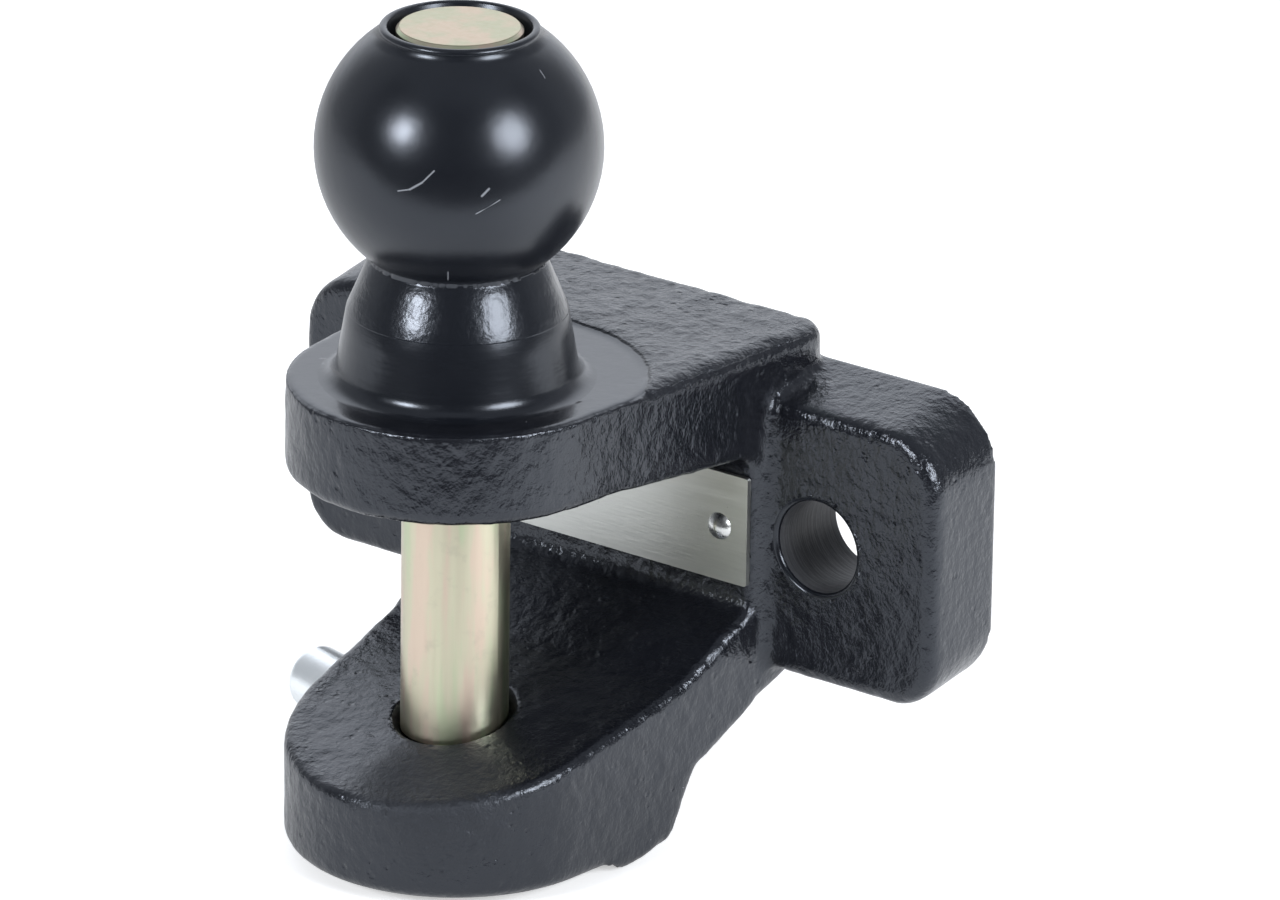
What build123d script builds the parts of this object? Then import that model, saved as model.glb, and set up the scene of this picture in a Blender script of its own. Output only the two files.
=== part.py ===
from build123d import *
import os
from math import cos, radians, sin, sqrt, tan

# Frame: millimetres, +Z up. The origin is the middle of the two bolt holes on the
# mounting face, which is the plane Y = 0 and faces +Y. The jaws reach out along -Y.

# Ball and neck
ball_diameter = 50.0
ball_height = 76.8            # ball centre above the bolt line
lip_height = 0.35             # rolled lip round the mouth of the ball's bore
lip_width = 1.3
neck_top_radius = 15.6
neck_step_radius = 19.3
neck_step_drop = 29.4         # from the ball centre to where the upper cone ends
neck_foot_radius = 21.5
neck_foot_fillet = 3.2
neck_groove_depth = 0.4       # tool line where ball and neck meet
neck_groove_width = 0.5

# Jaws, seen from above
pin_reach = 62.2              # pin axis in front of the mounting face
nose_radius = 29.8
jaw_flare = 5.5               # degrees that each side wall opens towards the flange
jaw_back_corner = 6.0         # corner radius where the side walls reach the mounting face

# Upper arm
deck_height = 35.4            # rough top of the upper arm
disc_depth = 0.7              # how far the turned disc lies below the rough top
disc_radius = 33.5
roof_height = 17.8            # underside of the upper arm at the pin
roof_flat_run = 6.0           # flat part of the roof behind the pin axis
roof_drop = 3.0               # how much lower the roof is at the web
roof_bend_radius = 60.0

# Web between the arms
web_stand_out = 3.2           # web face in front of the flange face
web_roof_radius = 3.6
web_floor_radius = 3.2

# Lower arm
floor_height = -28.1          # top of the lower arm at the pin
floor_slope = 12.7            # degrees that the floor climbs towards the flange
floor_knee_run = 23.5         # where the floor turns steeper, behind the pin axis
floor_web_height = -13.4      # floor height at the web
floor_knee_radius = 30.0
keel_height = -53.7           # rough underside of the lower arm
foot_depth = 1.8              # how far the faced foot lies above the keel
foot_reach = 1.1              # how far the faced foot's round reaches past the nose
foot_edge_radius = 2.6
heel_run = 12.5               # flat keel behind the pin axis
heel_rise = 2.2
heel_length = 10.1
heel_bend_radius = 20.0
step_length = 5.9
step_height = 11.5
step_radius = 3.0
underside_slope = 26.8        # degrees of the rear underside

# Flange
flange_thickness = 17.4
flange_width = 142.2          # at the mounting face
flange_top = 28.5
flange_bottom = -25.6
flange_side_draft = 0.7       # narrower at the front by this much on each side
flange_top_draft = 3.4
flange_back_corner = 13.5     # corner radius of the ears at the mounting face
flange_front_top_corner = 11.0
flange_front_bottom_corner = 8.5
flange_front_edge = 2.6
bolt_spacing = 90.0
bolt_hole_diameter = 17.0
bolt_hole_rounding = 0.9      # front rim

# Edges of the casting
deck_edge_radius = 3.0
mouth_edge_radius = 2.0
keel_edge_radius = 2.4

# Pin and its bores
pin_diameter = 19.0
pin_clearance = 0.08          # radial
pin_head_diameter = 22.0
pin_head_length = 11.0
pin_head_gap = 1.5            # radial gap round the head in the ball
pin_top_stand = 0.1           # pin top above the mouth of the ball's bore
pin_top_chamfer = 0.6
pin_tip_chamfer = 2.0
pin_tip_margin = 0.5          # pin tip above the keel
hole_mouth_chamfer = 1.4

# Retaining plunger
plunger_turn = 15.0           # degrees that the plunger axis turns back from the X axis
plunger_height = -35.5
plunger_travel = 3.0
plunger_nose_diameter = 7.0
plunger_nose_chamfer = 0.4
plunger_clearance = 0.05      # radial, nose in its guide and stem in its gland
nose_groove_gap = 1.2         # locked nose to the bottom of the pin's groove
nose_pin_gap = 0.8            # drawn nose to the side of the pin
groove_side_gap = 0.9
collar_diameter = 10.0
collar_thickness = 2.0
chamber_gap = 0.5             # radial gap round collar and spring
collar_floor_gap = 0.3        # locked collar to the floor of its chamber
stem_diameter = 5.0
guide_length = 4.6
spring_wire = 0.9
spring_turns = 4.0
spring_outer_diameter = 9.0
spring_seat_gap = 0.1
gland_diameter = 12.0
gland_length = 4.0
gland_gap = 0.05
gland_slot_width = 1.6
gland_slot_depth = 1.0
gland_sink = 1.1              # outer face of the gland inside the round nose
knob_diameter = 11.8
knob_length = 10.1
knob_stand_off = 3.4          # drawn knob to the gland
knob_rim_radius = 1.6
knob_bore_depth = 7.0
knob_bore_clearance = 0.02

# Rating plate
plate_width = 66.0
plate_height = 20.3
plate_thickness = 1.0
plate_rise = 1.0              # plate's middle above the bolt line
plate_corner_radius = 0.6
rivet_spacing = 54.0
rivet_head_diameter = 5.0
rivet_head_height = 1.5
rivet_shank_diameter = 2.5
rivet_depth = 5.0
rivet_clearance = 0.05

# Worked out from the sizes above
ball_radius = ball_diameter / 2
pin_y = -pin_reach
flange_face_y = -flange_thickness
web_y = flange_face_y - web_stand_out
disc_height = deck_height - disc_depth
foot_radius = nose_radius + foot_reach
foot_height = keel_height + foot_depth
foot_block_top = foot_height + 2 * foot_edge_radius
counterbore_radius = pin_head_diameter / 2 + pin_head_gap
bore_radius = pin_diameter / 2 + pin_clearance
rim_height = ball_height + sqrt(ball_radius ** 2 - counterbore_radius ** 2)
pin_top = rim_height + pin_top_stand
pin_seat = pin_top - pin_head_length
pin_bottom = keel_height + pin_tip_margin

# Places along the plunger's axis, as distances from the pin axis, with the plunger drawn
nose_tip = pin_diameter / 2 + nose_pin_gap
groove_radius = nose_tip - plunger_travel - nose_groove_gap
chamber_start = bore_radius + guide_length
collar_start = chamber_start + collar_floor_gap + plunger_travel
collar_end = collar_start + collar_thickness
gland_end = nose_radius - gland_sink
gland_start = gland_end - gland_length
knob_start = gland_end + knob_stand_off
knob_end = knob_start + knob_length
chamber_radius = collar_diameter / 2 + chamber_gap

over = 2.0                    # how far a cutting tool runs past the face it opens


def plunger_plane():
    """Plane at the pin axis whose normal runs out along the plunger."""
    turn = radians(plunger_turn)
    out = (-cos(turn), sin(turn), 0)
    return Plane(origin=(0, pin_y, plunger_height), x_dir=(0, 0, 1), z_dir=out)


def rod(radius, start, end):
    """Cylinder about the plunger's axis between two distances from the pin axis."""
    disc = plunger_plane().offset(start) * Circle(radius)
    return extrude(disc, end - start)


def rod_rim(shape, distance):
    """The round edge of a rod at a distance along the plunger's axis."""
    centre = plunger_plane().offset(distance).origin
    rims = shape.edges().filter_by(GeomType.CIRCLE)
    return rims.sort_by(lambda rim: (rim.arc_center - centre).length)[0]


def upright(radius, bottom, top):
    """Cylinder about the pin axis between two heights."""
    disc = Plane.XY.offset(bottom) * Pos(0, pin_y) * Circle(radius)
    return extrude(disc, top - bottom)


def jaw_outline():
    """Both arms seen from above: a round nose with walls that open to the flange."""
    flare = radians(jaw_flare)
    tangent = (nose_radius * cos(flare), pin_y - nose_radius * sin(flare))
    back_x = tangent[0] - tan(flare) * tangent[1]
    tip = (0, pin_y - nose_radius)
    left_tangent = (-tangent[0], tangent[1])
    edges = [
        ThreePointArc(left_tangent, tip, tangent),
        Line(tangent, (back_x, 0)),
        Line((back_x, 0), (-back_x, 0)),
        Line((-back_x, 0), left_tangent),
    ]
    return make_face(edges)


def back_corners():
    """Metal outside the round back corners of the upper arm, which stand on the flange."""
    outline = jaw_outline()
    rounded = fillet(outline.vertices().group_by(Axis.Y)[-1], jaw_back_corner)
    return extrude(outline - rounded, deck_height + over)


def side_outline():
    """The C of upper arm, web and lower arm seen from the side."""
    front = pin_y - nose_radius - over
    slope = tan(radians(floor_slope))
    knee = (pin_y + floor_knee_run, floor_height + slope * floor_knee_run)
    heel = (pin_y + heel_run, keel_height)
    heel_end = (heel[0] + heel_length, keel_height + heel_rise)
    step_top = (heel_end[0] + step_length, heel_end[1] + step_height)
    back_run = -over - step_top[0]
    back = (-over, step_top[1] + tan(radians(underside_slope)) * back_run)
    corners = [
        ((0, deck_height), 0),
        ((front, deck_height), 0),
        ((front, roof_height), 0),
        ((pin_y + roof_flat_run, roof_height), roof_bend_radius),
        ((web_y, roof_height - roof_drop), web_roof_radius),
        ((web_y, floor_web_height), web_floor_radius),
        (knee, floor_knee_radius),
        ((front, floor_height + slope * (front - pin_y)), 0),
        ((front, keel_height), 0),
        (heel, heel_bend_radius),
        (heel_end, step_radius),
        (step_top, step_radius),
        (back, 0),
        ((0, back[1]), 0),
    ]
    outline = make_face(Polyline(*[point for point, _ in corners], close=True))
    for point, radius in corners:
        if radius:
            corner = outline.vertices().sort_by_distance(Vector(*point))[0]
            outline = fillet(corner, radius)
    return outline


def side_slab():
    """The side outline as a slab wider than the jaws."""
    width = 4 * nose_radius
    return extrude(Plane.YZ.offset(-width / 2) * side_outline(), width)


def arms():
    """Upper arm, web and lower arm as cast, with their rounded edges."""
    outline = jaw_outline()
    base = Plane.XY.offset(keel_height - over) * outline
    above = extrude(base, deck_height - keel_height + 2 * over)
    body = above & side_slab()
    keel = nose_edge(body, keel_height)
    body = fillet(keel, keel_edge_radius)
    front_floor = floor_height - tan(radians(floor_slope)) * nose_radius
    mouth = nose_edge(body, front_floor)
    body = fillet(mouth, mouth_edge_radius)
    body -= back_corners()
    deck = [e for e in body.edges() if abs(e.center().Z - deck_height) < 0.01]
    return fillet(deck, deck_edge_radius)


def nose_edge(body, height):
    """The curved edge at the tip of a jaw whose lowest or highest point is at a height."""
    curved = [e for e in body.edges() if e.geom_type in (GeomType.CIRCLE, GeomType.ELLIPSE)]
    tip = Vector(0, pin_y - nose_radius, height)
    return ShapeList(curved).sort_by_distance(tip)[0]


def faced_block(radius, bottom, top):
    """Square-edged metal left where a cutter faces the nose of a jaw."""
    outline = Plane.XY.offset(bottom) * jaw_outline()
    return extrude(outline, top - bottom) & upright(radius, bottom, top) & side_slab()


def foot():
    """Faced foot under the nose of the lower jaw, with its outer edge rounded."""
    block = faced_block(foot_radius, foot_height, foot_block_top)
    nose_and_sides = block.edges().group_by(Axis.Z)[0].sort_by(Axis.Y)[:3]
    return fillet(nose_and_sides, foot_edge_radius)


def flange_outline(width, top, top_corner, bottom_corner):
    """Rectangle about the bolt line with its own radii for upper and lower corners."""
    height = top - flange_bottom
    outline = Pos(0, flange_bottom + height / 2) * Rectangle(width, height)
    lower = outline.vertices().group_by(Axis.Y)[0]
    outline = fillet(lower, bottom_corner)
    upper = outline.vertices().group_by(Axis.Y)[-1]
    return fillet(upper, top_corner)


def flange():
    """Plate with rounded corners that widens towards the mounting face."""
    back = Plane.XZ * flange_outline(
        flange_width, flange_top, flange_back_corner, flange_back_corner
    )
    front_width = flange_width - 2 * flange_side_draft
    front = Plane.XZ.offset(flange_thickness) * flange_outline(
        front_width,
        flange_top - flange_top_draft,
        flange_front_top_corner,
        flange_front_bottom_corner,
    )
    plate = loft([back, front])
    front_edges = plate.faces().sort_by(Axis.Y)[0].edges()
    return fillet(front_edges, flange_front_edge)


def ball_and_neck():
    """Turned ball, lip and two-step neck as one solid of revolution."""
    lip_outer = counterbore_radius + lip_width
    lip_foot = (lip_outer, ball_height + sqrt(ball_radius ** 2 - lip_outer ** 2))
    lip_crest = (counterbore_radius + lip_width / 2, rim_height + lip_height)
    lip_inner = (counterbore_radius, rim_height)
    groove = neck_top_radius - neck_groove_depth
    groove_top = (groove, ball_height - sqrt(ball_radius ** 2 - groove ** 2))
    groove_bottom = (groove, groove_top[1] - neck_groove_width)
    neck_top = (neck_top_radius, groove_bottom[1] - neck_groove_depth)
    step = (neck_step_radius, ball_height - neck_step_drop)
    foot = (neck_foot_radius, disc_height)
    rim = (neck_foot_radius + 2 * neck_foot_fillet, disc_height)
    under = disc_height - over
    edges = [
        Line((0, under), (0, rim_height)),
        Line((0, rim_height), lip_inner),
        ThreePointArc(lip_inner, lip_crest, lip_foot),
        ThreePointArc(lip_foot, (ball_radius, ball_height), groove_top),
        Polyline(groove_top, groove_bottom, neck_top, step, foot, rim, (rim[0], under), (0, under)),
    ]
    half = make_face(edges)
    corner = half.vertices().sort_by_distance(Vector(*foot))[0]
    half = fillet(corner, neck_foot_fillet)
    through_pin = Plane(origin=(0, pin_y, 0), x_dir=(1, 0, 0), z_dir=(0, -1, 0))
    return revolve(through_pin * half, Axis((0, pin_y, 0), (0, 0, 1)))


def bolt_holes():
    """The two flange bolt holes."""
    behind = Plane.XZ.offset(-over)
    depth = flange_thickness + 2 * over
    disc = Circle(bolt_hole_diameter / 2)
    return [extrude(behind * spot * disc, depth) for spot in GridLocations(bolt_spacing, 0, 2, 1)]


def bolt_hole_rims(body):
    """The front rim of each bolt hole."""
    rims = body.edges().filter_by(GeomType.CIRCLE)
    rims = [e for e in rims if abs(e.radius - bolt_hole_diameter / 2) < 0.01]
    rims = [e for e in rims if abs(e.arc_center.Y - flange_face_y) < 0.01]
    return [e for e in rims if abs(abs(e.arc_center.X) - bolt_spacing / 2) < 0.01]


def plate_plane():
    """Front of the web at the middle of the rating plate."""
    return Plane(origin=(0, web_y, plate_rise), x_dir=(1, 0, 0), z_dir=(0, -1, 0))


def rivet_spots():
    """Rivet places on the front of the web."""
    return [plate_plane() * location for location in GridLocations(rivet_spacing, 0, 2, 1)]


def jaw_casting():
    """Ball, neck, both jaws and flange in one casting, with its bores."""
    body = arms() + flange()
    body += faced_block(disc_radius, roof_height + over, disc_height)
    body -= upright(disc_radius, disc_height, deck_height + over)
    body += ball_and_neck()
    body -= upright(foot_radius, keel_height - over, foot_block_top)
    body += foot()
    body -= upright(bore_radius, keel_height - over, rim_height)
    body -= upright(counterbore_radius, pin_seat, rim_height + over)
    body -= bolt_holes()
    body = fillet(bolt_hole_rims(body), bolt_hole_rounding)
    for height in (floor_height, roof_height, foot_height):
        body = chamfer(bore_edge(body, height), hole_mouth_chamfer)
    body -= rod(plunger_nose_diameter / 2 + plunger_clearance, 0, chamber_start + over)
    body -= rod(chamber_radius, chamber_start, gland_start + over)
    body -= rod(gland_diameter / 2 + gland_gap, gland_start, knob_end)
    for spot in rivet_spots():
        hole = spot * Circle(rivet_shank_diameter / 2 + rivet_clearance)
        body -= extrude(hole, -rivet_depth - rivet_clearance)
    return body


def bore_edge(body, height):
    """The rim of the pin bore nearest a height."""
    rims = [e for e in body.edges() if e.geom_type in (GeomType.CIRCLE, GeomType.ELLIPSE)]
    span = 2 * bore_radius
    rims = [e for e in rims if abs(e.bounding_box().size.X - span) < 0.01]
    return ShapeList(rims).sort_by_distance(Vector(0, pin_y, height))[0]


def hitch_pin():
    """Drop pin: head, shank and the groove that the plunger locks in."""
    shank = upright(pin_diameter / 2, pin_bottom, pin_top)
    shank = chamfer(shank.edges().sort_by(Axis.Z)[0], pin_tip_chamfer)
    head = upright(pin_head_diameter / 2, pin_seat, pin_top)
    head = chamfer(head.edges().sort_by(Axis.Z)[-1], pin_top_chamfer)
    half_groove = plunger_nose_diameter / 2 + groove_side_gap
    low = plunger_height - half_groove
    high = plunger_height + half_groove
    groove = upright(pin_diameter, low, high) - upright(groove_radius, low, high)
    shank = shank & upright(pin_diameter / 2, pin_bottom, pin_seat + over)
    return shank - groove + head


def plunger():
    """Locking plunger: nose, collar that the spring pushes on, and stem."""
    nose = rod(plunger_nose_diameter / 2, nose_tip, collar_start)
    nose = chamfer(rod_rim(nose, nose_tip), plunger_nose_chamfer)
    collar = rod(collar_diameter / 2, collar_start, collar_end)
    stem = rod(stem_diameter / 2, collar_end, knob_start + knob_bore_depth)
    return nose + collar + stem


def plunger_spring():
    """Coil spring between the collar and the gland."""
    start = collar_end + spring_seat_gap + spring_wire / 2
    end = gland_start - spring_seat_gap - spring_wire / 2
    coil_radius = (spring_outer_diameter - spring_wire) / 2
    coil = Helix(pitch=(end - start) / spring_turns, height=end - start, radius=coil_radius)
    section = Plane(origin=coil @ 0, z_dir=coil % 0) * Circle(spring_wire / 2)
    wire = sweep(section, path=coil)
    return plunger_plane().offset(start) * wire


def plunger_gland():
    """Screwed ring that closes the spring chamber and guides the stem."""
    ring = rod(gland_diameter / 2, gland_start, gland_end)
    ring -= rod(stem_diameter / 2 + plunger_clearance, gland_start - over, gland_end + over)
    slot_size = (gland_slot_width, gland_diameter + over)
    slot = plunger_plane().offset(gland_end - gland_slot_depth) * Rectangle(*slot_size)
    return ring - extrude(slot, gland_slot_depth + over)


def plunger_knob():
    """Pull knob screwed on the end of the stem."""
    knob = rod(knob_diameter / 2, knob_start, knob_end)
    knob = fillet(rod_rim(knob, knob_end), knob_rim_radius)
    bore = stem_diameter / 2 + knob_bore_clearance
    return knob - rod(bore, knob_start - over, knob_start + knob_bore_depth)


def rating_plate():
    """Bare metal plate on the front of the web."""
    sheet = RectangleRounded(plate_width, plate_height, plate_corner_radius)
    plate = extrude(plate_plane() * sheet, plate_thickness)
    for spot in rivet_spots():
        hole = spot * Circle(rivet_shank_diameter / 2 + rivet_clearance)
        plate -= extrude(hole, plate_thickness)
    return plate


def rating_plate_rivets():
    """Two drive rivets with domed heads."""
    head_radius = rivet_head_diameter / 2
    dome_radius = (head_radius ** 2 + rivet_head_height ** 2) / (2 * rivet_head_height)
    rivets = []
    for spot in rivet_spots():
        seat = spot * Pos(0, 0, plate_thickness)
        disc = seat * Circle(head_radius)
        dome = extrude(disc, rivet_head_height) & (
            seat * Pos(0, 0, rivet_head_height - dome_radius) * Sphere(dome_radius)
        )
        shank = extrude(seat * Circle(rivet_shank_diameter / 2), -rivet_depth)
        rivets.append(dome + shank)
    return Compound(children=rivets)


def main():
    """Build every piece and write it to its own file."""
    pieces = {
        "jaw_casting": jaw_casting(),
        "hitch_pin": hitch_pin(),
        "plunger": plunger(),
        "plunger_spring": plunger_spring(),
        "plunger_gland": plunger_gland(),
        "plunger_knob": plunger_knob(),
        "rating_plate": rating_plate(),
        "rating_plate_rivets": rating_plate_rivets(),
    }
    os.makedirs("parts", exist_ok=True)
    for name, piece in pieces.items():
        export_step(piece, f"parts/{name}.step")


main()
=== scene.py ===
import bpy
import bmesh
import numpy as np
from math import cos, hypot, pi, radians, sin, tan
from mathutils import Matrix, Vector, bvhtree, kdtree, noise


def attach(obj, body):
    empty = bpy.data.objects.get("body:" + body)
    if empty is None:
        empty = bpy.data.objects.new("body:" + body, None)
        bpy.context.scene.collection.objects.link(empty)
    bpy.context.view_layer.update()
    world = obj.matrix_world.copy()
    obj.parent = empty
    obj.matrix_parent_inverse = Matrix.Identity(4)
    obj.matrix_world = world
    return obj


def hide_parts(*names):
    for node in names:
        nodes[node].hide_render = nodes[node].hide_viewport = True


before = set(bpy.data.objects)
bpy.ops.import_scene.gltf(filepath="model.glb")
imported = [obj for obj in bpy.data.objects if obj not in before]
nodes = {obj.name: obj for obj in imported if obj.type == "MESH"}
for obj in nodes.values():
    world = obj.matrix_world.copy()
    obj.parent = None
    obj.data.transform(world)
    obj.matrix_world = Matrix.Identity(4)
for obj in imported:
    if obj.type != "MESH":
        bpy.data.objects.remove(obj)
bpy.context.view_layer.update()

# Camera, in metres and degrees
FRAME_WIDTH = 1280
FRAME_HEIGHT = 900
BALL_CENTRE = Vector((0.0, -0.0622, 0.0768))
BALL_PIXEL = (459.0, 145.8)
AZIMUTH = 37.0
ELEVATION = 21.1
ROLL = 0.85
FOCAL_PIXELS = 10580.0
CAMERA_DISTANCE = 1.81655
SENSOR = 36.0                 # millimetres across
NEAR_CLIP = 0.05
FAR_CLIP = 20.0

# Places on the casting, in metres
PIN_Y = -0.0622
BORE_REACH = 0.0113           # the pin's bores lie within this of its axis
PIN_TOP = 0.09855
NECK_REACH = 0.029            # between the neck's foot and the edge of the disc
NECK_STEP = 0.0474            # the cone begins here
NECK_TOP = 0.0566             # the ball begins here
DISC_HEIGHT = 0.0347
DISC_RADIUS = 0.0335
MOUTH_LIP = -0.0362           # the lower jaw's floor lies above this
ROUGH_PATCH = (0.011, -0.081, -0.033)      # middle of the dull patch before the pin
ROUGH_PATCH_INNER = 0.008
ROUGH_PATCH_OUTER = 0.018
FOOT_HEIGHT = -0.0519
FOOT_RADIUS = 0.0309
FLANGE_FACE_Y = -0.0174
BOLT_X = 0.045
BOLT_RADIUS = 0.0085
BOLT_RIM_RADIUS = 0.0095
PLUNGER_OUT = (-0.9659258, 0.2588190)      # from the pin's axis towards the knob
PLUNGER_HEIGHT = -0.0355
CHAMBER_RADIUS = 0.0055       # the plunger's bore where it is widest, round the spring
NOSE_RADIUS = 0.0298
JAW_FLARE = radians(5.5)
FLANGE_TOP = 0.0285
FLANGE_TOP_DRAFT = 0.0034     # rise of the ears' tops from front to back
EAR_START = 0.035             # the ears lie outside this
LOWEST = -0.0537
HAIR = 0.000002

# Scratches in the ball's paint: two ends and a width, in metres
SCRATCHES = (
    ((0.00595, -0.08648, 0.07663), (0.00800, -0.08588, 0.07720), 0.00018),
    ((0.00800, -0.08588, 0.07720), (0.01000, -0.08505, 0.07865), 0.00026),
    ((0.01000, -0.08505, 0.07865), (0.01169, -0.08393, 0.08083), 0.00020),
    ((0.01749, -0.0797, 0.07324), (0.02031, -0.07673, 0.07558), 0.00014),
    ((0.01834, -0.07918, 0.07653), (0.01912, -0.07827, 0.07772), 0.00030),
    ((0.0104, -0.07824, 0.06069), (0.00908, -0.07654, 0.05845), 0.00016),
    ((0.01762, -0.06253, 0.09453), (0.01874, -0.06256, 0.09334), 0.00014),
)

# Cast skin, in metres
SKIN_GRID = 0.0006            # side of the cast skin's squares
SOFTENING = 3                 # rounds that soften every edge of the skin
ROOT_SOFTENING = 30           # rounds that fill the roots of the arms
STEP_SOFTENING = 12           # rounds that blur the step behind the disc
ROOT_REACH = 0.0048           # reach of the roots beside the ears
TOP_ROOT_REACH = 0.0060       # reach of the roots on top of the ears
BACK_REACH = 0.0080           # the roots grow sharp over this depth at the mounting face
SWELL = 0.00015               # height of the broad waves on cast faces
SWELL_SIZE = 0.008
RIPPLE = 0.00012              # height of the smaller waves
RIPPLE_SIZE = 0.0032
RIPPLE_PLACE = Vector((7, 3, 5))           # keeps the ripples apart from the swell
DENT = 0.00016                # depth of the small dents
DENT_SIZE = 0.0019
DENT_PLACE = Vector((2, 9, 4))
DENT_LEVEL = 0.1              # lower gives more dents
SINK = 0.00035                # the skin lies this deep under turned faces
TOUCH = 0.0003                # the skin counts as under a turned face up to this distance
SNAP = 0.0004                 # the skin meets a turned face's rim from this near
SINK_START = 0.1              # share of the sinking at a rim
SINK_WIDTH = 0.001            # the skin lies fully sunk this far from a rim
CALM_WIDTH = 0.0022           # the waves die out this near to turned faces
BACK_CALM = 0.0015            # and this near to the mounting face
RIM_SPACING = 0.0001
SHARP_ANGLE = radians(35)

# How much more the waves show on a part of the casting
DECK_WAVES = 0.6
ROOT_WAVES = 0.6
TOP_ROOT_WAVES = 1.8
JAW_FLOOR_WAVES = 0.6         # share left on the lower jaw's floor
EAR_CALM = 0.65               # share lost round the ears

# Paint
PAINT_TINT = (0.84, 0.9, 1, 1)
CAST_BUMP = 0.00034
TURNED_BUMP = 0.00005
DRILLED_BUMP = 0.00010
METAL_BUMP = 0.00003

# Lamps: name, direction as right, up and towards the camera, width and height, radiance
LAMP_DISTANCE = 1.3
LAMP_COLOUR = (0.94, 0.965, 1)
LAMPS = (
    ("lamp_left", (-0.68, 0.16, 0.715), (0.37, 0.37), 32.0),
    ("lamp_right", (0.68, 0.12, 0.722), (0.62, 0.62), 16.0),
)

# Backdrop: strengths low in front, added low behind, added at the peak, and overhead
FRONT_STRENGTH = 0.10
BACK_STRENGTH = 0.4
PEAK_STRENGTH = 1.0
PEAK_RISE = 0.5               # added to the peak higher up
OVERHEAD_STRENGTH = 0.4
BACKDROP_COLOUR = (0.90, 0.935, 1, 1)

# Floor, in metres, and its glow to the camera and in reflections
FLOOR_SIZE = 4.0
FLOOR_GAP = 0.0002
FLOOR_GLOW = 0.5
FLOOR_MIRRORED = 0.25
FLOOR_MIRRORED_RIGHT = 0.5    # added towards the right


def view_axes():
    """Right, up and forward of the camera in the frame's axes."""
    az, el, roll = radians(AZIMUTH), radians(ELEVATION), radians(ROLL)
    right = Vector((cos(az), sin(az), 0.0))
    forward = Vector((-sin(az) * cos(el), cos(az) * cos(el), -sin(el)))
    up = right.cross(forward)
    return right * cos(roll) + up * sin(roll), up * cos(roll) - right * sin(roll), forward


def make_camera():
    """Camera of the photo's view, which sees the ball's centre at its pixel."""
    right, up, forward = view_axes()
    across = (BALL_PIXEL[0] - FRAME_WIDTH / 2) / FOCAL_PIXELS * CAMERA_DISTANCE
    rise = -(BALL_PIXEL[1] - FRAME_HEIGHT / 2) / FOCAL_PIXELS * CAMERA_DISTANCE
    place = BALL_CENTRE - right * across - up * rise - forward * CAMERA_DISTANCE
    data = bpy.data.cameras.new("camera")
    data.sensor_width = SENSOR
    data.lens = FOCAL_PIXELS * SENSOR / FRAME_WIDTH
    data.clip_start = NEAR_CLIP
    data.clip_end = FAR_CLIP
    camera = bpy.data.objects.new("camera", data)
    bpy.context.scene.collection.objects.link(camera)
    turn = Matrix((right, up, -forward)).transposed()
    camera.matrix_world = Matrix.Translation(place) @ turn.to_4x4()
    bpy.context.scene.camera = camera


def add(tree, kind, inputs=None, **settings):
    """A shader node with its settings, and its inputs set or linked."""
    item = tree.nodes.new(kind)
    for name, value in settings.items():
        setattr(item, name, value)
    for key, value in (inputs or {}).items():
        if isinstance(value, bpy.types.NodeSocket):
            tree.links.new(value, item.inputs[key])
        else:
            item.inputs[key].default_value = value
    return item


def calc(tree, operation, *values):
    """Result of a math node."""
    inputs = dict(enumerate(values))
    return add(tree, "ShaderNodeMath", inputs, operation=operation).outputs[0]


def blend(tree, amount, low, high):
    """Colour between two others."""
    mix = add(tree, "ShaderNodeMix", data_type="RGBA")
    for socket, value in ((mix.inputs[0], amount), (mix.inputs[6], low), (mix.inputs[7], high)):
        if isinstance(value, bpy.types.NodeSocket):
            tree.links.new(value, socket)
        else:
            socket.default_value = (*value, 1)
    return mix.outputs[2]


def grain(tree, place, size, detail=3.0, roughness=0.55):
    """Noise between 0 and 1 with features of about a size in metres."""
    inputs = {"Vector": place, "Scale": 1 / size, "Detail": detail, "Roughness": roughness}
    return add(tree, "ShaderNodeTexNoise", inputs).outputs[0]


def step(tree, value, low, high):
    """0 below one value, 1 above another and smooth between."""
    inputs = {"Value": value, "From Min": low, "From Max": high}
    return add(tree, "ShaderNodeMapRange", inputs, interpolation_type="SMOOTHSTEP").outputs[0]


def stretched(tree, place, factors):
    """Coordinates scaled by a factor on each axis."""
    return add(tree, "ShaderNodeMapping", {"Vector": place, "Scale": factors}).outputs[0]


def new_material(name, metallic, roughness):
    """An empty material, its shader and the object coordinates."""
    material = bpy.data.materials.new(name)
    material.use_nodes = True
    tree = material.node_tree
    shader = tree.nodes["Principled BSDF"]
    shader.inputs["Metallic"].default_value = metallic
    shader.inputs["Roughness"].default_value = roughness
    place = add(tree, "ShaderNodeTexCoord").outputs["Object"]
    return material, tree, shader, place


def bumped(tree, shader, height, distance):
    """Tilt the shader's normal by a height, whose unit is a distance in metres."""
    bump = add(tree, "ShaderNodeBump", {"Height": height, "Distance": distance, "Strength": 1.0})
    tree.links.new(bump.outputs[0], shader.inputs["Normal"])


def from_axis(tree, place):
    """Distance from the pin's axis."""
    inputs = {"Vector": place, "Location": (0, -PIN_Y, 0), "Scale": (1, 1, 0)}
    flat = add(tree, "ShaderNodeMapping", inputs)
    return add(tree, "ShaderNodeVectorMath", {0: flat.outputs[0]}, operation="LENGTH").outputs["Value"]


def height_of(tree, place):
    """The part of a place or direction along Z."""
    return add(tree, "ShaderNodeSeparateXYZ", {"Vector": place}).outputs["Z"]


def towards(tree, place, direction):
    """How far a place or direction points along another direction."""
    inputs = {0: place, 1: direction}
    return add(tree, "ShaderNodeVectorMath", inputs, operation="DOT_PRODUCT").outputs["Value"]


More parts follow.
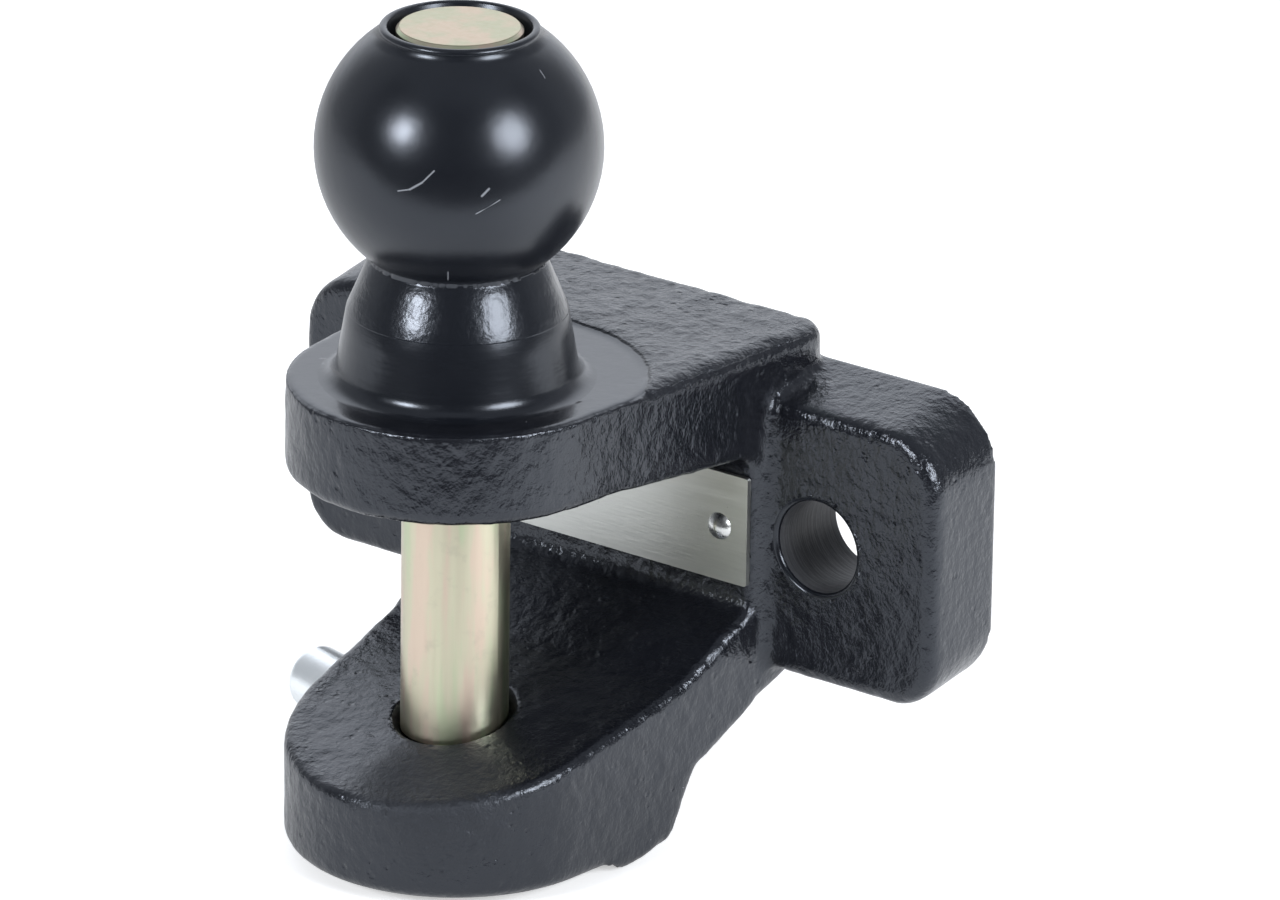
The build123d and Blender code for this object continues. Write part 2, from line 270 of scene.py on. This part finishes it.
def invert(tree, value):
    """1 where a value is 0, and 0 where it is 1."""
    return calc(tree, "SUBTRACT", 1.0, value)


def specks(tree, place, spacing, radius, share):
    """1 on small round specks at random places, which only a share of the cells have."""
    cells = add(tree, "ShaderNodeTexVoronoi", {"Vector": place, "Scale": 1 / spacing}).outputs
    lot = add(tree, "ShaderNodeSeparateXYZ", {0: cells["Color"]}).outputs["X"]
    chosen = calc(tree, "LESS_THAN", lot, share)
    spot = invert(tree, step(tree, cells["Distance"], 0.4 * radius / spacing, radius / spacing))
    return calc(tree, "MULTIPLY", spot, chosen)


def near_line(tree, place, start, end, width):
    """1 on the straight line between two points, 0 a width away from it."""
    start, end = Vector(start), Vector(end)
    along = end - start
    away = add(tree, "ShaderNodeVectorMath", {0: place, 1: start}, operation="SUBTRACT").outputs[0]
    run = towards(tree, away, along / along.length_squared)
    run = add(tree, "ShaderNodeClamp", {"Value": run}).outputs[0]
    foot = add(tree, "ShaderNodeVectorMath", {0: along, "Scale": run}, operation="SCALE").outputs[0]
    gap = add(tree, "ShaderNodeVectorMath", {0: away, 1: foot}, operation="DISTANCE").outputs["Value"]
    return invert(tree, step(tree, gap, 0.2 * width, width))


def cast_relief(tree, place):
    """Height of the cast paint's orange peel, with fine grain and pits."""
    inputs = {"Vector": place, "Rotation": (0, radians(35), 0), "Scale": (1, 1, 0.8)}
    turned = add(tree, "ShaderNodeMapping", inputs).outputs[0]
    peel = grain(tree, turned, 0.0019, 4.0, 0.6)
    fine = grain(tree, place, 0.0007, 2.0)
    cells = add(tree, "ShaderNodeTexVoronoi", {"Vector": place, "Scale": 520.0}).outputs["Distance"]
    pit = invert(tree, step(tree, cells, 0.05, 0.42))
    pit = calc(tree, "MULTIPLY", pit, step(tree, grain(tree, place, 0.0045), 0.5, 0.66))
    height = calc(tree, "MULTIPLY_ADD", fine, 0.15, peel)
    return calc(tree, "MULTIPLY_ADD", pit, -0.4, height)


def relief_strength(tree, place, patch):
    """More on the deck and the rough patch, less on the lower jaw's floor, little on the disc."""
    z = height_of(tree, place)
    reach = from_axis(tree, place)
    high = step(tree, z, DISC_HEIGHT - 0.0006, DISC_HEIGHT - 0.0002)
    edge = calc(tree, "MULTIPLY_ADD", grain(tree, place, 0.003), 0.0012, reach)
    outside = step(tree, edge, DISC_RADIUS, DISC_RADIUS + 0.0008)
    faced = calc(tree, "MULTIPLY", high, invert(tree, outside))
    deck = calc(tree, "MULTIPLY", high, outside)
    inner = invert(tree, step(tree, reach, NOSE_RADIUS - 0.006, NOSE_RADIUS - 0.002))
    above_lip = step(tree, z, MOUTH_LIP, MOUTH_LIP + 0.001)
    low = calc(tree, "MULTIPLY", above_lip, invert(tree, step(tree, z, -0.01, 0)))
    strength = calc(tree, "MULTIPLY_ADD", deck, 0.9, 1.0)
    strength = calc(tree, "MULTIPLY_ADD", faced, -0.9, strength)
    strength = calc(tree, "MULTIPLY_ADD", calc(tree, "MULTIPLY", low, inner), -0.5, strength)
    return calc(tree, "MULTIPLY_ADD", patch, 1.3, strength)


def rough_patch(tree, place):
    """1 in the dull patch on the lower jaw's floor, 0 away from it."""
    gap = add(tree, "ShaderNodeVectorMath", {0: place, 1: ROUGH_PATCH}, operation="DISTANCE")
    return invert(tree, step(tree, gap.outputs["Value"], ROUGH_PATCH_INNER, ROUGH_PATCH_OUTER))


def cast_paint():
    """Black paint on rough cast iron, with orange peel, pits and a few pale specks."""
    material, tree, shader, place = new_material("cast_paint", 0.0, 0.25)
    colour = blend(tree, grain(tree, place, 0.006), (0.0035, 0.004, 0.0062), (0.009, 0.0098, 0.0128))
    colour = blend(tree, specks(tree, place, 0.0045, 0.00016, 0.16), colour, (0.42, 0.43, 0.46))
    tree.links.new(colour, shader.inputs["Base Color"])
    shader.inputs["IOR"].default_value = 1.6
    shader.inputs["Specular Tint"].default_value = PAINT_TINT
    patch = rough_patch(tree, place)
    height = calc(tree, "MULTIPLY", cast_relief(tree, place), relief_strength(tree, place, patch))
    bumped(tree, shader, height, CAST_BUMP)
    rough = calc(tree, "MULTIPLY_ADD", grain(tree, place, 0.003), 0.16, 0.14)
    rough = calc(tree, "MULTIPLY_ADD", patch, 0.40, rough)
    tree.links.new(rough, shader.inputs["Roughness"])
    return material


def turned_paint():
    """The same paint over turned faces: smooth on the ball, speckled on the neck's cone."""
    material, tree, shader, place = new_material("turned_paint", 0.0, 0.22)
    shader.inputs["IOR"].default_value = 1.55
    shader.inputs["Specular Tint"].default_value = PAINT_TINT
    z = height_of(tree, place)
    above_step = step(tree, z, NECK_STEP - 0.0001, NECK_STEP + 0.0001)
    below_ball = invert(tree, step(tree, z, NECK_TOP - 0.0002, NECK_TOP))
    cone = calc(tree, "MULTIPLY", above_step, below_ball)
    colour = blend(tree, grain(tree, place, 0.009), (0.004, 0.005, 0.0075), (0.008, 0.009, 0.012))
    for start, end, width in SCRATCHES:
        scratch = near_line(tree, place, start, end, width)
        colour = blend(tree, scratch, colour, (0.22, 0.23, 0.25))
    colour = blend(tree, specks(tree, place, 0.006, 0.00014, 0.2), colour, (0.4, 0.41, 0.44))
    tree.links.new(colour, shader.inputs["Base Color"])
    broad = grain(tree, place, 0.005, 2.0)
    peel = grain(tree, place, 0.0011, 3.0)
    rings = grain(tree, stretched(tree, place, (0.06, 0.06, 1.0)), 0.0009, 2.0)
    height = calc(tree, "MULTIPLY_ADD", calc(tree, "MULTIPLY", peel, cone), 1.4, broad)
    lower = calc(tree, "MULTIPLY", below_ball, invert(tree, above_step))
    height = calc(tree, "MULTIPLY_ADD", calc(tree, "MULTIPLY", rings, lower), 0.35, height)
    height = calc(tree, "MULTIPLY_ADD", calc(tree, "MULTIPLY", peel, lower), 0.3, height)
    bumped(tree, shader, height, TURNED_BUMP)
    rough = calc(tree, "MULTIPLY_ADD", below_ball, -0.03, 0.27)
    tree.links.new(rough, shader.inputs["Roughness"])
    return material


def drilled_paint():
    """Thin paint in the bolt holes and the plunger's bore, over the rings that the drill left."""
    material, tree, shader, place = new_material("drilled_paint", 0.0, 0.5)
    rings = grain(tree, stretched(tree, place, (0.08, 1.0, 0.08)), 0.0007, 3.0)
    colour = blend(tree, rings, (0.024, 0.025, 0.029), (0.058, 0.060, 0.066))
    tree.links.new(colour, shader.inputs["Base Color"])
    shader.inputs["Specular IOR Level"].default_value = 0.3
    height = calc(tree, "MULTIPLY_ADD", grain(tree, place, 0.0015), 0.5, rings)
    bumped(tree, shader, height, DRILLED_BUMP)
    return material


def yellow_zinc():
    """Pale yellow zinc with upright bands of pink and green, and duller on top."""
    material, tree, shader, place = new_material("yellow_zinc", 1.0, 0.34)
    bands = grain(tree, stretched(tree, place, (1.0, 1.0, 0.14)), 0.0050)
    colour = blend(tree, step(tree, bands, 0.38, 0.49), (0.62, 0.51, 0.41), (0.575, 0.545, 0.41))
    colour = blend(tree, step(tree, bands, 0.51, 0.64), colour, (0.52, 0.565, 0.39))
    blots = step(tree, grain(tree, place, 0.004, 4.0), 0.55, 0.75)
    colour = blend(tree, calc(tree, "MULTIPLY", blots, 0.35), colour, (0.40, 0.38, 0.30))
    top = step(tree, height_of(tree, place), PIN_TOP - 0.00015, PIN_TOP - 0.00005)
    swirl = step(tree, grain(tree, place, 0.007, 4.0), 0.4, 0.6)
    colour = blend(tree, top, colour, blend(tree, swirl, (0.45, 0.36, 0.265), (0.37, 0.36, 0.245)))
    tree.links.new(colour, shader.inputs["Base Color"])
    streaks = grain(tree, stretched(tree, place, (1.0, 1.0, 0.06)), 0.0012, 3.0)
    tree.links.new(calc(tree, "MULTIPLY_ADD", streaks, 0.2, 0.24), shader.inputs["Roughness"])
    bumped(tree, shader, streaks, METAL_BUMP)
    return material


def metal(name, dark, bright, roughness, size, factors=(1.0, 1.0, 1.0)):
    """Bare or plated metal with soft streaks of two tones and a few dark specks."""
    material, tree, shader, place = new_material(name, 1.0, roughness)
    along = stretched(tree, place, factors)
    tone = grain(tree, along, size)
    spots = calc(tree, "MULTIPLY", specks(tree, place, 0.0035, 0.00015, 0.3), 0.6)
    colour = blend(tree, spots, blend(tree, tone, dark, bright), (0.2, 0.2, 0.2))
    tree.links.new(colour, shader.inputs["Base Color"])
    worn = calc(tree, "MULTIPLY_ADD", tone, 0.15, roughness - 0.07)
    tree.links.new(worn, shader.inputs["Roughness"])
    bumped(tree, shader, grain(tree, along, size / 4), METAL_BUMP)
    return material


def dress(name, material):
    """Give a node of the frame its material."""
    data = nodes[name].data
    data.materials.clear()
    data.materials.append(material)


def face_kind(centre, normal):
    """Whether a face of the casting is turned, drilled or left as cast."""
    reach = hypot(centre.x, centre.y - PIN_Y)
    if reach < BORE_REACH or (centre.z > DISC_HEIGHT + HAIR and reach < NECK_REACH):
        return "turned"
    bolt = hypot(abs(centre.x) - BOLT_X, centre.z)
    if bolt < BOLT_RADIUS + HAIR and abs(normal.y) < 0.05:
        return "drilled"
    if bolt < BOLT_RIM_RADIUS and abs(normal.y) < 0.999:
        return "turned"
    along = centre.x * PLUNGER_OUT[0] + (centre.y - PIN_Y) * PLUNGER_OUT[1]
    across = (centre.y - PIN_Y) * PLUNGER_OUT[0] - centre.x * PLUNGER_OUT[1]
    if along > 0 and hypot(across, centre.z - PLUNGER_HEIGHT) < CHAMBER_RADIUS + HAIR:
        return "drilled"
    return "cast"


def casting_part(kinds):
    """The casting's faces of some kinds as a mesh of their own."""
    work = bmesh.new()
    work.from_mesh(nodes["jaw_casting"].data)
    bmesh.ops.remove_doubles(work, verts=work.verts, dist=1e-6)
    work.normal_update()
    drop = [f for f in work.faces if face_kind(f.calc_center_median(), f.normal) not in kinds]
    bmesh.ops.delete(work, geom=drop, context="FACES")
    return work


def rim_points(work):
    """Search tree of points close together along the open rims of a mesh."""
    points = []
    for edge in work.edges:
        if edge.is_boundary:
            start, end = edge.verts[0].co, edge.verts[1].co
            count = max(1, int((end - start).length / RIM_SPACING))
            points += [start.lerp(end, index / count) for index in range(count)]
    tree = kdtree.KDTree(len(points))
    for index, point in enumerate(points):
        tree.insert(point, index)
    tree.balance()
    return tree


def skin_mesh():
    """The casting's surface as an even net of small squares."""
    source = nodes["jaw_casting"].copy()
    source.data = source.data.copy()
    bpy.context.scene.collection.objects.link(source)
    net = source.modifiers.new("net", "REMESH")
    net.mode = "VOXEL"
    net.voxel_size = SKIN_GRID
    even = source.evaluated_get(bpy.context.evaluated_depsgraph_get())
    data = bpy.data.meshes.new_from_object(even)
    bpy.data.objects.remove(source)
    return data


def vertex_values(data, kind):
    """Places or normals of a mesh's vertices, one row each."""
    values = np.empty(len(data.vertices) * 3)
    data.vertices.foreach_get(kind, values)
    return values.reshape(-1, 3)


def edge_pairs(data):
    """The two vertices of each edge, one row each."""
    pairs = np.empty(len(data.edges) * 2, dtype=np.int64)
    data.edges.foreach_get("vertices", pairs)
    return pairs.reshape(-1, 2)


def place_vertices(data, places):
    data.vertices.foreach_set("co", places.ravel())
    data.update()


def soften(places, pairs, weight, rounds):
    """Move each vertex towards the middle of its neighbours, as far as its weight says."""
    first, second = pairs[:, 0], pairs[:, 1]
    count = np.bincount(first, minlength=len(places)) + np.bincount(second, minlength=len(places))
    for _ in range(rounds):
        total = np.zeros_like(places)
        for axis in range(3):
            total[:, axis] = np.bincount(first, places[second, axis], len(places))
            total[:, axis] += np.bincount(second, places[first, axis], len(places))
        places += (total / count[:, None] - places) * weight[:, None]


def fade(share):
    """1 at 0, falling smoothly to 0 at 1."""
    left = np.clip(1 - share, 0, 1)
    return left * left * (3 - 2 * left)


def root_weights(places):
    """1 in the roots of the arms, 0 away from them: beside the ears, and on top of them."""
    x, y, z = places.T
    wall = NOSE_RADIUS * cos(JAW_FLARE) + (y - PIN_Y + NOSE_RADIUS * sin(JAW_FLARE)) * tan(JAW_FLARE)
    to_wall = np.abs(x) - wall
    to_face = y - FLANGE_FACE_Y
    to_top = z - FLANGE_TOP - FLANGE_TOP_DRAFT * y / -FLANGE_FACE_Y
    from_back = 1 - fade(-y / BACK_REACH)
    beside = np.sqrt(to_wall ** 2 + to_face ** 2 + np.maximum(to_top, 0) ** 2)
    above = np.sqrt(to_wall ** 2 + to_top ** 2 + np.maximum(-to_face, 0) ** 2)
    return fade(beside / ROOT_REACH) * from_back, fade(above / TOP_ROOT_REACH) * from_back


def disc_step_weight(places):
    """1 at the low step between the faced disc and the rough deck, 0 away from it."""
    x, y, z = places.T
    near = np.clip(1.5 - np.abs(np.hypot(x, y - PIN_Y) - DISC_RADIUS) / 0.001, 0, 1)
    return near * (z > DISC_HEIGHT - 0.0005)


def wave_strength(places):
    """How much the waves show: 0 on faced areas, above 1 where the cast is roughest."""
    x, y, z = places.T
    reach = np.hypot(x, y - PIN_Y)
    beside, above = root_weights(places)
    high = np.clip((z - DISC_HEIGHT + 0.0008) / 0.0004, 0, 1)
    strength = 1 + DECK_WAVES * high + ROOT_WAVES * beside + TOP_ROOT_WAVES * above
    strength *= 1 - high * np.clip(1 + (DISC_RADIUS - reach) / 0.0008, 0, 1)
    lower_floor = (z > MOUTH_LIP) & (z < 0) & (reach < NOSE_RADIUS - 0.002)
    strength[lower_floor] *= JAW_FLOOR_WAVES
    ear_rim = (np.abs(x) > EAR_START) & (np.abs(z) < FLANGE_TOP)
    strength *= 1 - EAR_CALM * ear_rim * np.clip((y - FLANGE_FACE_Y - 0.0005) / 0.001, 0, 1)
    foot = (np.abs(z - FOOT_HEIGHT) < 0.0006) & (reach < FOOT_RADIUS)
    strength[foot] = 0
    return strength * np.clip(-y / BACK_CALM, 0, 1)


def wave(point):
    """Height of the cast skin's waves and dents at a point."""
    swell = noise.noise(point / SWELL_SIZE) * SWELL
    ripple = noise.noise(point / RIPPLE_SIZE + RIPPLE_PLACE) * RIPPLE
    dent = min(0.0, noise.noise(point / DENT_SIZE + DENT_PLACE) + DENT_LEVEL) * DENT
    return swell + ripple + dent


def mesh_of(name, work):
    """A named mesh with sharp corners kept sharp."""
    data = bpy.data.meshes.new(name)
    work.to_mesh(data)
    work.free()
    data.set_sharp_from_angle(angle=SHARP_ANGLE)
    return data


def finish_piece(name, data, material):
    """Put a piece that stands for the casting into the scene."""
    data.materials.clear()
    data.materials.append(material)
    data.polygons.foreach_set("use_smooth", [True] * len(data.polygons))
    piece = bpy.data.objects.new(name, data)
    bpy.context.scene.collection.objects.link(piece)
    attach(piece, "hitch")
    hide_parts("jaw_casting")


def shape_skin(data):
    """Soften the skin, give it waves, and lay it under the turned and drilled faces."""
    smooth_work = casting_part({"turned", "drilled"})
    smooth_faces = bvhtree.BVHTree.FromBMesh(smooth_work)
    rims = rim_points(smooth_work)
    smooth_work.free()
    places = vertex_values(data, "co")
    lowest, highest = places.min(axis=0), places.max(axis=0)
    pairs = edge_pairs(data)
    soften(places, pairs, np.full(len(places), 0.5), SOFTENING)
    soften(places, pairs, np.maximum(*root_weights(places)) * 0.7, ROOT_SOFTENING)
    soften(places, pairs, disc_step_weight(places) * 0.6, STEP_SOFTENING)
    place_vertices(data, places)
    normals = vertex_values(data, "normal")
    strength = wave_strength(places)
    for index, place in enumerate(places):
        point = Vector(place)
        distance = smooth_faces.find_nearest(point)[3]
        if distance < SNAP:
            rim, _, gap = rims.find(point)
            if gap < SNAP:
                places[index] = rim
                continue
        if distance < TOUCH:
            shift = -SINK * min(1.0, SINK_START + (gap - SNAP) / SINK_WIDTH)
        else:
            calm = min(1.0, (distance - TOUCH) / CALM_WIDTH)
            shift = wave(point) * calm * strength[index]
        places[index] += normals[index] * shift
    np.clip(places, lowest, highest, out=places)
    place_vertices(data, places)


def casting():
    """The casting in three pieces: turned faces, drilled bores and a rough cast skin."""
    skin = skin_mesh()
    shape_skin(skin)
    turned = mesh_of("casting_turned", casting_part({"turned"}))
    drilled = mesh_of("casting_drilled", casting_part({"drilled"}))
    finish_piece("casting_turned", turned, turned_paint())
    finish_piece("casting_drilled", drilled, drilled_paint())
    finish_piece("casting_skin", skin, cast_paint())


def area_light(name, direction, size, radiance):
    """A round lamp that shines at the ball from a direction."""
    data = bpy.data.lights.new(name, "AREA")
    data.shape = "ELLIPSE"
    data.size, data.size_y = size
    data.energy = radiance * pi * pi / 4 * size[0] * size[1]
    data.color = LAMP_COLOUR
    lamp = bpy.data.objects.new(name, data)
    bpy.context.scene.collection.objects.link(lamp)
    lamp.location = BALL_CENTRE + direction.normalized() * LAMP_DISTANCE
    lamp.rotation_euler = (-direction).to_track_quat("-Z", "Y").to_euler()


def studio():
    """A backdrop that is brightest behind the object, and two soft lamps."""
    right, up, forward = view_axes()
    back = Vector((forward.x, forward.y, 0)).normalized()
    world = bpy.data.worlds.new("studio")
    bpy.context.scene.world = world
    world.use_nodes = True
    tree = world.node_tree
    direction = add(tree, "ShaderNodeTexCoord").outputs["Generated"]
    rise = height_of(tree, direction)
    lift = step(tree, rise, 0.70, 0.84)
    level = add(tree, "ShaderNodeVectorMath", {0: direction, 1: (1, 1, 0)}, operation="MULTIPLY").outputs[0]
    level = add(tree, "ShaderNodeVectorMath", {0: level}, operation="NORMALIZE").outputs[0]
    behind = towards(tree, level, back)
    horizon = calc(tree, "MULTIPLY_ADD", step(tree, behind, -0.3, 0.3), BACK_STRENGTH, FRONT_STRENGTH)
    peak = calc(tree, "MULTIPLY_ADD", step(tree, rise, 0.3, 0.55), PEAK_RISE, PEAK_STRENGTH)
    horizon = calc(tree, "MULTIPLY_ADD", step(tree, behind, 0.6, 1.0), peak, horizon)
    lower = calc(tree, "MULTIPLY", horizon, invert(tree, lift))
    strength = calc(tree, "MULTIPLY_ADD", lift, OVERHEAD_STRENGTH, lower)
    seen = add(tree, "ShaderNodeLightPath").outputs["Is Camera Ray"]
    strength = calc(tree, "MAXIMUM", strength, seen)
    tree.links.new(strength, tree.nodes["Background"].inputs["Strength"])
    tree.nodes["Background"].inputs["Color"].default_value = BACKDROP_COLOUR
    for name, (across, above, near), size, radiance in LAMPS:
        area_light(name, right * across + up * above - forward * near, size, radiance)


def floor():
    """Plain pale floor just under the casting, dark in reflections of what lies far in front."""
    right, _, forward = view_axes()
    back = Vector((forward.x, forward.y, 0)).normalized()
    work = bmesh.new()
    bmesh.ops.create_grid(work, x_segments=1, y_segments=1, size=FLOOR_SIZE)
    data = bpy.data.meshes.new("floor")
    work.to_mesh(data)
    work.free()
    piece = bpy.data.objects.new("floor", data)
    piece.location = (0, 0, LOWEST - FLOOR_GAP)
    bpy.context.scene.collection.objects.link(piece)
    material, tree, shader, place = new_material("floor_white", 0.0, 0.9)
    shader.inputs["Specular IOR Level"].default_value = 0.0
    shader.inputs["Emission Color"].default_value = (1, 1, 1, 1)
    path = add(tree, "ShaderNodeLightPath").outputs
    seen = calc(tree, "MAXIMUM", path["Is Camera Ray"], path["Is Transmission Ray"])
    behind = towards(tree, place, back)
    far = calc(tree, "MULTIPLY", path["Is Glossy Ray"], invert(tree, step(tree, behind, -0.34, -0.25)))
    tree.links.new(blend(tree, far, (0.95, 0.95, 0.95), (0.08, 0.08, 0.08)), shader.inputs["Base Color"])
    side = step(tree, towards(tree, place, right), 0.0, 0.2)
    mirrored = calc(tree, "MULTIPLY_ADD", side, FLOOR_MIRRORED_RIGHT, FLOOR_MIRRORED)
    mirrored = calc(tree, "MULTIPLY", calc(tree, "SUBTRACT", path["Is Glossy Ray"], far), mirrored)
    glow = calc(tree, "MULTIPLY_ADD", seen, FLOOR_GLOW, mirrored)
    tree.links.new(glow, shader.inputs["Emission Strength"])
    data.materials.append(material)


make_camera()
casting()
dress("hitch_pin", yellow_zinc())
dress("plunger", metal("turned_steel", (0.45, 0.45, 0.44), (0.6, 0.6, 0.59), 0.35, 0.003))
dress("plunger_spring", metal("spring_steel", (0.3, 0.3, 0.3), (0.5, 0.5, 0.5), 0.4, 0.002))
dress("plunger_gland", metal("gland_zinc", (0.66, 0.70, 0.73), (0.80, 0.83, 0.86), 0.34, 0.003))
dress("plunger_knob", metal("bright_zinc", (0.88, 0.93, 0.95), (0.95, 0.97, 0.98), 0.36, 0.004))
dress("rating_plate", metal("plate_metal", (0.48, 0.49, 0.47), (0.66, 0.67, 0.64), 0.36, 0.002, (0.1, 1, 1)))
dress("rating_plate_rivets", metal("rivet_metal", (0.58, 0.59, 0.58), (0.72, 0.73, 0.72), 0.27, 0.002))
floor()
studio()
bpy.context.scene.view_settings.view_transform = "Standard"
